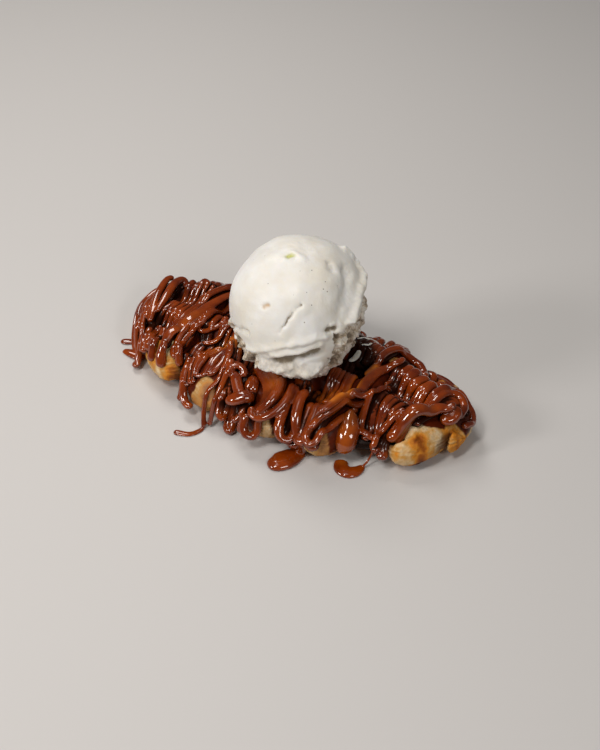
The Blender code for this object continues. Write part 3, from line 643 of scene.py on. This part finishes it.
class Ground:
    """The height of everything poured so far, on a grid of small cells."""

    def __init__(self):
        (x0, x1), (y0, y1) = FIELD
        self.corner = np.array([x0, y0])
        self.x, self.y = np.meshgrid(np.arange(x0, x1, CELL), np.arange(y0, y1, CELL), indexing="ij")
        self.height = ground_height(self.x, self.y)

    def under(self, path):
        """The height below each point of a path, blended from the four cells round it."""
        cell = (path - self.corner) / CELL
        low = np.floor(cell).astype(int)
        share = cell - low
        total = 0
        for i, j in np.ndindex(2, 2):
            weight = np.abs(1 - i - share[:, 0]) * np.abs(1 - j - share[:, 1])
            total = total + weight * self.height[low[:, 0] + i, low[:, 1] + j]
        return total

    def around(self, points, rounds):
        """The mean height round each point: each cell is blended with its four neighbours, round by round."""
        mean = self.height
        for _ in range(rounds):
            mean = mean / 2 + sum(np.roll(mean, step, axis) for step in (-1, 1) for axis in (0, 1)) / 8
        cell = ((points[:, :2] - self.corner) / CELL).astype(int)
        return mean[cell[:, 0], cell[:, 1]]

    def add(self, line, radius, flatness):
        """Raises the cells that a laid strand covers to its rounded upper side, a short run at a time."""
        for run in np.array_split(line, max(1, len(line) // RUN_POINTS)):
            low = ((run[:, :2].min(0) - radius - self.corner) / CELL).astype(int)
            high = ((run[:, :2].max(0) + radius - self.corner) / CELL).astype(int) + 2
            near = np.s_[low[0] : high[0], low[1] : high[1]]
            x, y = self.x[near][..., None], self.y[near][..., None]
            away = (x - run[:, 0]) ** 2 + (y - run[:, 1]) ** 2
            rise = run[:, 2] + flatness * np.sqrt(np.maximum(radius**2 - away, 0))
            highest = np.where(away < radius**2, rise, -1).max(axis=2)
            self.height[near] = np.maximum(self.height[near], highest)


def along(line):
    """How far along a line each of its points lies."""
    return np.concatenate([[0], np.cumsum(np.linalg.norm(np.diff(line, axis=0), axis=1))])


def even_steps(line):
    """The same line with its points spaced evenly, a STEP apart."""
    run = along(line)
    even = np.linspace(0, run[-1], max(4, round(run[-1] / STEP) + 1))
    return np.stack([np.interp(even, run, line[:, k]) for k in range(line.shape[1])], axis=1)


def smooth_path(points, unit=MM):
    """Evenly spaced points along a Catmull-Rom curve: each stretch is a cubic through its two ends."""
    points = np.array(points) * unit
    padded = np.concatenate([[2 * points[0] - points[1]], points, [2 * points[-1] - points[-2]]])
    share = np.linspace(0, 1, CURVE_POINTS, endpoint=False)[:, None]
    pieces = []
    for a, b, c, d in zip(padded[:-3], padded[1:-2], padded[2:-1], padded[3:]):
        cubic = (3 * b - a - 3 * c + d) * share**3 + (2 * a - 5 * b + 4 * c - d) * share**2
        pieces.append(0.5 * (cubic + (c - a) * share + 2 * b))
    return even_steps(np.concatenate([*pieces, points[-1:]]))


def lay(path, radius, ground, flatness=1.0, sink=SINK):
    """Drapes a plan path over the ground: it rests on what is high and sags between, in curves no tighter
    than SAG_RADIUS."""
    rest = ground.under(path) + (1 - sink) * radius * flatness
    z = rest.copy()
    sag = STEP**2 / (2 * SAG_RADIUS)
    for _ in range(SAG_ROUNDS):
        z[1:-1] = np.maximum(rest[1:-1], (z[:-2] + z[2:]) / 2 - sag)
    line = np.column_stack([path, z])
    ground.add(line, radius, flatness)
    return even_steps(line)


def tube(line, radii, flatness):
    """Rings round a line, each level across and square to the line in height, shut at both ends."""
    tangent = np.gradient(line, axis=0)
    tangent /= np.linalg.norm(tangent, axis=1, keepdims=True)
    level = np.column_stack([-tangent[:, 1], tangent[:, 0], np.zeros(len(line))])
    level /= np.maximum(np.linalg.norm(level, axis=1, keepdims=True), 1e-9)
    upright = np.cross(tangent, level)
    angle = np.linspace(0, 2 * math.pi, SIDES, endpoint=False)[None, :, None]
    across = np.cos(angle) * level[:, None] + flatness * np.sin(angle) * upright[:, None]
    rings = line[:, None] + np.reshape(radii, (-1, 1, 1)) * across
    rings[..., 2] = np.maximum(rings[..., 2], LOWEST)
    return rings


def end_rounding(line, radius):
    """1 along a strand, falling to almost nothing at both ends as a circle's half width does."""
    run = along(line)
    from_end = np.clip(np.minimum(run, run[-1] - run) / radius, 0, 1)
    return np.sqrt(np.maximum(1 - (1 - from_end) ** 2, LEAST_END))


def widths(halves, line):
    """Half a ribbon's width at each of its points: its given widths in between, rounded off at both ends."""
    half = np.interp(np.linspace(0, 1, len(line)), np.linspace(0, 1, len(halves)), halves) * MM
    return half * end_rounding(line, halves[-1] * MM)


def comb(guides, passes, rng):
    """One to-and-fro line: passes between the guides, at slightly uneven distances, each bent a little and
    reaching a little more or less far, with every second one turned round so that the ends join."""
    t = np.linspace(0, 1, GUIDE_POINTS)
    even = []
    for line in map(smooth_path, guides):
        at, index = t * (len(line) - 1), np.arange(len(line))
        even.append(np.stack([np.interp(at, index, line[:, k]) for k in (0, 1)], axis=1))
    even = np.array(even)
    pitch = (len(guides) - 1) / (passes - 1)
    place = np.linspace(0, len(guides) - 1, passes) + UNEVEN_PITCH * pitch * rng.uniform(-1, 1, passes)
    place = np.clip(place, 0, len(guides) - 1)
    low = np.minimum(place.astype(int), len(guides) - 2)
    share = (place - low)[:, None, None]
    strands = (1 - share) * even[low] + share * even[low + 1]
    bend, phase = rng.uniform(-1, 1, (2, passes, 1))
    strands[..., 0] += WANDER * bend * np.sin(2 * math.pi * (BEND_TURNS * t + phase)) * np.sin(math.pi * t)
    reach = rng.uniform(*REACH, (2, passes, 1)) * MM
    first = strands[:, 0] - strands[:, 1]
    last = strands[:, -1] - strands[:, -2]
    strands[:, 0] += reach[0] * first / np.linalg.norm(first, axis=1, keepdims=True)
    strands[:, -1] += reach[1] * last / np.linalg.norm(last, axis=1, keepdims=True)
    strands[1::2] = strands[1::2, ::-1].copy()
    return strands.reshape(-1, 2)


def pour():
    """Every strand as a tube of rings: the combs first, then the sheets and ribbons over them, then the drips
    and pools at the foot, and the thread."""
    rng = np.random.default_rng(7)
    ground = Ground()
    strands, ribbons = [], []
    for guides, passes, first, last in COMBS.values():
        path = smooth_path(comb(guides, passes, rng), 1)
        line = lay(path, STRAND_WIDTH * (first + last) / 2 * MM, ground, STRAND_HEIGHT)
        run = np.linspace(0, 1, len(line))
        beat = BEAT * np.sin(run * passes * BEAT_RATE + rng.uniform(0, 6))
        swell = 1 + SWELL * unevenness(line, SWELL_SIZE, 61) + beat
        radii = STRAND_WIDTH * (first + (last - first) * run) * MM * swell * end_rounding(line, COMB_END)
        strands.append(tube(line, radii, STRAND_HEIGHT))
    for runs, flatness in ((SHEETS, SHEET_HEIGHT), (RIBBONS, RIBBON_HEIGHT)):
        for points, halves in runs.values():
            line = smooth_path(points)
            if line.shape[1] == 3:
                ground.add(line, np.mean(halves) * MM, flatness)
            else:
                line = lay(line, np.mean(halves) * MM, ground, flatness)
            ribbons.append(tube(line, widths(halves, line), flatness))
    for points, halves in DRIPS.values():
        path = smooth_path(points)
        half = widths(halves, path)
        ribbons.append(tube(np.column_stack([path, POOL_RISE * POOL_HEIGHT * half]), half, POOL_HEIGHT))
    thread = smooth_path(THREAD)
    ribbons.append(tube(thread, np.full(len(thread), THREAD_RADIUS), 1.0))
    return strands, ribbons, ground


def distance_to(points, line):
    """How far each point is from a line: the least distance to its stretches."""
    least = np.full(points.shape[:-1], np.inf)
    for a, b in zip(line[:-1], line[1:]):
        share = np.clip((points - a) @ (b - a) / np.dot(b - a, b - a), 0, 1)
        least = np.minimum(least, np.linalg.norm(points - a - share[..., None] * (b - a), axis=-1))
    return least


def bell(distance, half):
    """1 on a line, falling away to both sides: e to the power of minus the distance squared."""
    return np.exp(-((distance / half) ** 2))


def beside_scoop(points):
    """1 in the shade at the scoop's foot, behind it on the right, where it is darkest, and 0 elsewhere."""
    away = points[:, :2] / MM - SHADE_MIDDLE
    reach = np.hypot(*away.T)
    turned = smoothstep((away @ SHADE_WAY / np.maximum(reach, 1) - 0.5) / 0.3)
    return smoothstep((SHADE_REACH - reach) / SHADE_FADE) * turned


def join_tubes(name, tubes):
    """One mesh from many tubes."""
    points, sides, fans, start = [], [], [], 0
    for rings in tubes:
        shape = ring_faces(*rings.shape[:2])
        points.append(close_rings(rings))
        sides.append(shape[0] + start)
        fans.append(shape[1] + start)
        start += len(points[-1])
    return new_piece(name, np.concatenate(points), (np.concatenate(sides), np.concatenate(fans)))


def places(mesh):
    """The places of a mesh's points."""
    points = np.empty(3 * len(mesh.vertices), np.float32)
    mesh.vertices.foreach_get("co", points)
    return points.reshape(-1, 3)


def run_together(made, softening):
    """Joins what overlaps into one skin by a voxel remesh, then softens it, as a thick liquid does."""
    remesh = made.modifiers.new("join", "REMESH")
    remesh.mode, remesh.voxel_size, remesh.use_smooth_shade = "VOXEL", VOXEL, True
    smooth = made.modifiers.new("soften", "SMOOTH")
    smooth.factor, smooth.iterations = 0.5, softening
    joined = made.evaluated_get(bpy.context.evaluated_depsgraph_get())
    made.data = bpy.data.meshes.new_from_object(joined)
    made.modifiers.clear()
    made.data.shade_smooth()


material, place, shader = new_material(
    "milk_chocolate",
    Specular_IOR_Level=0.85,
    Subsurface_Weight=0.08,
    Subsurface_Radius=(1.0, 0.28, 0.08),
    Subsurface_Scale=1.0 * MM,
)
thin_glow, hollow_shade = place.stored("thin_glow"), place.stored("hollow_shade").between(0, 1)
chocolate = place.grain(110, 2).ramp((0.3, CHOCOLATE_DARK), (0.7, CHOCOLATE_LIT))
# A painted glow where the chocolate is thin, then painted shade in the hollows and in the scoop's shadow.
chocolate = chocolate.paint(CHOCOLATE_THIN_GLOW, thin_glow).paint(CHOCOLATE_SHADE, hollow_shade * 0.88)
connect(chocolate, shader, "Base Color")
connect(0.10 + 0.1 * hollow_shade, shader, "Roughness")
# Where shade is painted, a matte dark shader is also mixed in, so the hollows show no reflection.
matte = {"Base Color": (*CHOCOLATE_SHADE, 1), "Specular IOR Level": 0.0, "Roughness": 1.0}
shade_shader = place.node("BsdfPrincipled", matte)
mixed = place.node("MixShader", {0: hollow_shade * 0.85, 1: Tone(place.tree, shader.outputs[0]), 2: shade_shader})
connect(mixed, place.tree.nodes["Material Output"], "Surface")

strands, ribbons, ground = pour()
for kind, members in (("strands", strands), ("ribbons", ribbons)):
    middles = np.array([rings[..., 0].mean() for rings in members])
    side_of = np.digitize(middles, SIDE_LIMITS)
    for side_number, side in enumerate(("left", "middle", "right")):
        chosen = [rings for rings, number in zip(members, side_of) if number == side_number]
        made = join_tubes(f"{kind}_{side}", chosen)
        if kind == "ribbons":
            run_together(made, SOFTENING)
        points = places(made.data)
        near, wide = (ground.around(points, rounds) - points[:, 2] for rounds in (NEAR_ROUNDS, WIDE_ROUNDS))
        # Painted shade where a point lies below the mean height round it, in narrow and in wide hollows.
        sunken = smoothstep((near / MM - NEAR_DEPTH) / NEAR_FADE)
        sunken = sunken + WIDE_SHARE * smoothstep((wide / MM - WIDE_DEPTH) / WIDE_FADE)
        sunken = sunken * smoothstep((points[:, 2] / MM - HOLLOW_FROM) / HOLLOW_OVER) * HOLLOW_SHARE[kind]
        # Stored together with the scoop's painted shadow beside its foot.
        store(made, "hollow_shade", np.maximum(sunken, SHADE_STRENGTH * beside_scoop(points)))
        # Painted glow along the thin lines, partly the dough showing through.
        clear = np.zeros(len(points))
        for line, reach, share in THIN_GLOW_LINES:
            away = distance_to(points[:, :2], np.array(line) * MM)
            clear = np.maximum(clear, share * bell(away, reach * MM))
        store(made, "thin_glow", clear * (0.8 + 0.4 * unevenness(points, 5 * MM, 51)))
        made.data.materials.append(material)
        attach(made, "root")


# --------------------------------------------------------------------
# The scoop. One ball of vanilla ice cream, pressed a little into the chocolate: a smooth dome, a rolled lip
# with a crevice under it where it left the scoop's rim, and a ragged skirt where it starts to melt.

SCOOP_RADIUS = 31.7 * MM
SCOOP_CENTRE = np.array([0, 1.3, 50.7]) * MM
SCOOP_AROUND, SCOOP_RINGS, POLE_SHARE = 420, 230, 0.995
SHAKE, LIP_HEIGHT, TORN_DEPTH, CROWN_DEPTH = 0.026, 0.7, 1.9, 1.2
BALL_UNEVENNESS = ((0.8, 0.55, 35), (0.45, 0.27, 36), (0.12, 0.1, 39))  # height in millimetres, size and seed

# Rolls and furrows of the ball: a line of (turn, rise) in degrees, half its width in degrees, and its height
# in millimetres. In some, painted shade darkens the crease or pit: how strongly, and half the painted shade's
# width. Below the torn line, given by turns and rises, the surface is rough.
MARKS = {
    "upper_roll": ([(59, 46), (48, 34), (36, 28), (12, 29), (-2, 24), (-14, 16)], 3.6, 2.3),
    "upper_furrow": ([(20, 48), (0, 42), (-10, 35), (-22, 28)], 6.0, -1.8),
    "front_crack": ([(-79, 16), (-73, 27), (-61, 39)], 1.4, -1.1),
    "crack_rim": ([(-74, 14), (-67, 26), (-56, 37)], 4.2, 0.5),
    "lip": ([(-108, -14), (-89, -4), (-78, 1), (-66, 7), (-52, 10), (-40, 12)], 3.4, 1.5),
    "lip_dip": ([(-84, -4), (-72, 0), (-58, 4), (-46, 6)], 3.6, -0.5),
    "lower_roll": ([(-84, -8), (-73, -4), (-62, 1), (-52, 4), (-45, 5)], 2.8, 1.5),
    "crevice": ([(-82, -17), (-71, -12), (-61, -8), (-51, -4), (-46, -2)], 3.4, -2.6),
    "bottom_roll": ([(-118, -34), (-104, -31), (-95, -26), (-85, -24), (-72, -26), (-58, -24),
      (-42, -19)], 4.5, 2.2),
    "left_furrow": ([(-141, -11), (-121, -3), (-109, 3)], 2.2, -1.3),
    "left_pit": ([(-104, -22), (-99, -19)], 3.5, -2.4),
    "top_dent": ([(5, 64), (-2, 60)], 3.2, -1.0),
    "peel": ([(-119, 77), (-117, 80)], 2.2, -1.0),
    "amber": ([(-99, 31), (-94, 34)], 1.8, -0.5),
    "right_pit": ([(-37, 17), (-31, 15)], 2.8, -2.2),
    "far_roll": ([(95, 44), (140, 50)], 26.0, 1.3),
    "far_lip": ([(100, 30), (130, 22), (160, 30)], 6.0, 0.9),
    "far_furrow": ([(95, -8), (125, -14), (160, -9), (195, -12)], 4.5, -1.5),
    "far_foot": ([(80, -24), (120, -27), (160, -24), (200, -27), (230, -30)], 5.0, 1.5),
    "crown_roll": ([(-113, 70), (-127, 84), (-60, 80)], 4.0, 0.5),
    "crevice_floor": ([(-83, -14), (-72, -9), (-62, -5), (-53, -1), (-47, 0)], 1.4, -1.4),
}
CREASE_SHADES = {"front_crack": (0.8, 1.5), "right_pit": (1, 3), "crevice": (1.1, 3), "crevice_floor": (1.3, 1.3)}
TORN_LINE = (
    [-180, -150, -134, -118, -104, -92, -60, -39, -34, -26, -14, -2, 12, 30, 50, 75, 110, 180],
    [-30, -14, -8, -8, -20, -36, -38, -30, 15, 11, 13, 18, 23, 22, 22, 4, -20, -30],
)


def directions(turn, rise):
    """Unit vectors at a turn round Z from +X and a rise above the level, both in degrees."""
    turn, rise = np.radians(turn), np.radians(rise)
    return np.stack([np.cos(rise) * np.cos(turn), np.cos(rise) * np.sin(turn), np.sin(rise)], axis=-1)


def degrees_to(way, mark):
    """How far each direction is from a mark's line over the ball, in degrees."""
    return np.degrees(distance_to(way, directions(*np.transpose(MARKS[mark][0]))))


def make_scoop():
    """A ball with soft unevenness all over; each mark adds a bell-shaped roll or furrow along its line. Below
    the torn line the surface is set back and crumbly, and the bottom is ragged where it melts."""
    rise = (np.linspace(1, -1, SCOOP_RINGS) * POLE_SHARE * 90)[:, None]
    turn = np.linspace(-180, 180, SCOOP_AROUND, endpoint=False)[None, :]
    rise, turn = np.broadcast_arrays(rise, turn)
    way = directions(turn, rise)
    shaken = way + SHAKE * np.stack([rough(way, 0.15, 40 + k, 4) for k in range(3)], axis=2)
    height = sum(tall * unevenness(way, size, seed) for tall, size, seed in BALL_UNEVENNESS)
    from_mark = {mark: degrees_to(shaken, mark) for mark in MARKS}
    for mark, (_, half, rise_of) in MARKS.items():
        height = height + rise_of * bell(from_mark[mark], half)
    edge = np.interp(turn + 5 * rough(way, 0.12, 45), *TORN_LINE) + 4 * rough(way, 0.16, 37)
    torn = smoothstep((edge - rise) / 2.0) * smoothstep((rise + 40) / 10)
    lip = bell(rise - edge - 2.5, 2.5) * smoothstep((rise + 5) / 10)
    low = smoothstep((-10 + 5 * rough(way, 0.25, 38) - rise) / 8)
    lumps = rough(way, 0.20, 34, 2)
    crumbs = np.maximum(rough(way, 0.09, 33, 4), -0.8)
    height = height + LIP_HEIGHT * lip - TORN_DEPTH * torn
    height = height + (1.9 * torn + 0.8 * low) * crumbs + (1.2 * torn + 1.9 * low) * lumps
    height = height - CROWN_DEPTH * smoothstep((rise - 60) / 28)
    rings = SCOOP_CENTRE + way * (SCOOP_RADIUS + height * MM)[..., None]
    made = new_piece("scoop", close_rings(rings), ring_faces(*rings.shape[:2]))
    # Painted shade in the crevice, the crack and the pits.
    crease_shade = [strength * bell(from_mark[mark], half) for mark, (strength, half) in CREASE_SHADES.items()]
    paints = {
        "torn": np.clip(torn + 0.35 * low, 0, 1),
        "crease_shade": np.max(crease_shade, axis=0),
        "peel": bell(from_mark["peel"], 2.2),
        "amber": bell(from_mark["amber"], 1.6),
    }
    for name, values in paints.items():
        store(made, name, np.append(values, [0, 0]))
    return made


material, place, shader = new_material(
    "vanilla_cream",
    Subsurface_Weight=0.35,
    Subsurface_Radius=(1.0, 0.85, 0.65),
    Subsurface_Scale=1.3 * MM,
    Specular_IOR_Level=0.35,
)
torn, crease_shade, peel, amber = (place.stored(name) for name in ("torn", "crease_shade", "peel", "amber"))
cream = place.grain(55, 4).ramp((0.35, (0.78, 0.75, 0.67)), (0.62, (0.85, 0.85, 0.83)))
# The torn surface's tan tone with painted shade in its pits, also on the ragged bottom.
crumb_tone_and_shade = place.grain(170, 5, 0.65)
crumb_tone_and_shade = crumb_tone_and_shade.ramp((0.40, (0.16, 0.11, 0.06)), (0.49, (0.52, 0.42, 0.30)), (0.57, (0.84, 0.79, 0.70)))
seed = place.node("TexVoronoi", {"Vector": place, "Scale": 330.0}, output="Distance")
chosen = place.grain(75, 1).between(0.56, 0.6)
speck = (1 - seed.between(0.07, 0.12)) * chosen
cream = cream.paint(crumb_tone_and_shade, torn * 0.9)
# Painted shade in the crevice, the crack and the pits, with a ragged edge.
ragged = (crease_shade + place.grain(420, 4) * 0.9 - 0.45).between(0.30, 0.85)
cream = cream.paint((0.20, 0.145, 0.075), ragged * 0.85)
cream = cream.paint((0.50, 0.52, 0.03), peel * 0.9).paint((0.58, 0.33, 0.10), amber * 0.75)
cream = cream.paint((0.09, 0.06, 0.035), speck * 0.7)
connect(cream, shader, "Base Color")
connect(0.40 + 0.2 * torn, shader, "Roughness")
height = place.grain(1500, 4) * 0.4 + place.grain(350, 3)
bump = place.node("Bump", {"Height": height, "Strength": 0.45, "Distance": 0.35 * MM})
connect(bump, shader, "Normal")

scoop = make_scoop()
scoop.data.materials.append(material)
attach(scoop, "root")
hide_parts("ice_cream_scoop")


# --------------------------------------------------------------------
# The pale runs. Thin runs in the ice cream's material that lie on the chocolate round the scoop.

CREAM_RUNS = {
    "left_run": ([(-30, 8), (-31, 2), (-29, -4), (-27, -8)], 1.7),
    "right_run": ([(21, 13), (23, 16), (24, 19)], 1.7),
    "right_thread": ([(19, 25), (21, 28), (24, 28.5), (26, 31.5), (29, 31)], 0.7),
    "right_trail": ([(23, 21), (26, 22), (27.5, 25)], 0.8),
}
CREAM_FLATNESS, CREAM_SINK, CREAM_SOFTENING = 0.4, 0.1, 3

tubes = []
for points, half in CREAM_RUNS.values():
    line = lay(smooth_path(points), half * MM, ground, CREAM_FLATNESS, CREAM_SINK)
    tubes.append(tube(line, widths((0.7 * half, half, 0.8 * half), line), CREAM_FLATNESS))
pale_runs = join_tubes("pale_cream_runs", tubes)
run_together(pale_runs, CREAM_SOFTENING)
pale_runs.data.materials.append(material)
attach(pale_runs, "root")


# --------------------------------------------------------------------
# The studio: a plain pale floor; a soft light behind on the left, a weak one overhead, and three in front,
# low on the left, high in the middle and on the right; and a camera that looks down from the front's right.

CAMERA_TURN, CAMERA_RISE, CAMERA_ROLL = math.radians(26.4), math.radians(40.2), math.radians(1.9)
CAMERA_DISTANCE = 750 * MM
LOOK_AT = Vector((-0.1, 5.0, 7.4)) * MM
PIXELS_TO_MM = 2.11
FRAME_PIXELS, SENSOR = 750, 36.0


def direction(turn, rise):
    """A unit vector that points at a compass turn from -Y towards +X, and a rise above the floor."""
    return Vector((math.sin(turn) * math.cos(rise), -math.cos(turn) * math.cos(rise), math.sin(rise)))


def soft_light(name, turn, rise, distance, width, height, power, colour):
    """A rectangular lamp that shines at LOOK_AT from a turn and a rise in degrees."""
    lamp = bpy.data.lights.new(name, "AREA")
    lamp.shape, lamp.size, lamp.size_y, lamp.energy, lamp.color = "RECTANGLE", width, height, power, colour
    made = bpy.data.objects.new(name, lamp)
    bpy.context.scene.collection.objects.link(made)
    way = direction(math.radians(turn), math.radians(rise))
    made.location = LOOK_AT + way * distance
    made.rotation_euler = way.to_track_quat("Z", "Y").to_euler()


floor_points = np.array([(-3, -3, 0), (3, -3, 0), (3, 3, 0), (-3, 3, 0)], float)
floor = new_piece("floor", floor_points, (np.array([[0, 1, 2, 3]]),))
material, place, shader = new_material("pale_floor", Roughness=0.6, Base_Color=(0.62, 0.61, 0.60, 1))
floor.data.materials.append(material)

soft_light("key", 235, 54, 0.7, 0.18, 0.30, 1.6, (1.0, 0.95, 0.90))
soft_light("overhead", 330, 80, 0.9, 0.30, 0.30, 0.45, (1.0, 0.96, 0.92))
soft_light("left_fill", -40, 28, 1.1, 0.24, 0.19, 3.8, (1.0, 0.95, 0.92))
soft_light("front_top", -12, 58, 0.9, 0.15, 0.23, 2.7, (1.0, 0.95, 0.90))
soft_light("right_fill", 60, 40, 1.1, 0.28, 0.22, 2.2, (1.0, 0.96, 0.93))

world = bpy.data.worlds.new("studio")
bpy.context.scene.world = world
world.use_nodes = True
world.node_tree.nodes["Background"].inputs["Color"].default_value = (1, 0.98, 0.95, 1)
world.node_tree.nodes["Background"].inputs["Strength"].default_value = 0.08
bpy.context.scene.view_settings.view_transform = "Standard"

back = direction(CAMERA_TURN, CAMERA_RISE)
right = Vector((math.cos(CAMERA_TURN), math.sin(CAMERA_TURN), 0))
up = back.cross(right)
right, up = (
    right * math.cos(CAMERA_ROLL) + up * math.sin(CAMERA_ROLL),
    up * math.cos(CAMERA_ROLL) - right * math.sin(CAMERA_ROLL),
)
lens = bpy.data.cameras.new("camera")
lens.sensor_width = SENSOR
lens.lens = PIXELS_TO_MM * (CAMERA_DISTANCE / MM) * SENSOR / FRAME_PIXELS
camera = bpy.data.objects.new("camera", lens)
bpy.context.scene.collection.objects.link(camera)
turned = Matrix((right, up, back)).transposed().to_4x4()
camera.matrix_world = Matrix.Translation(LOOK_AT + back * CAMERA_DISTANCE) @ turned
bpy.context.scene.camera = camera
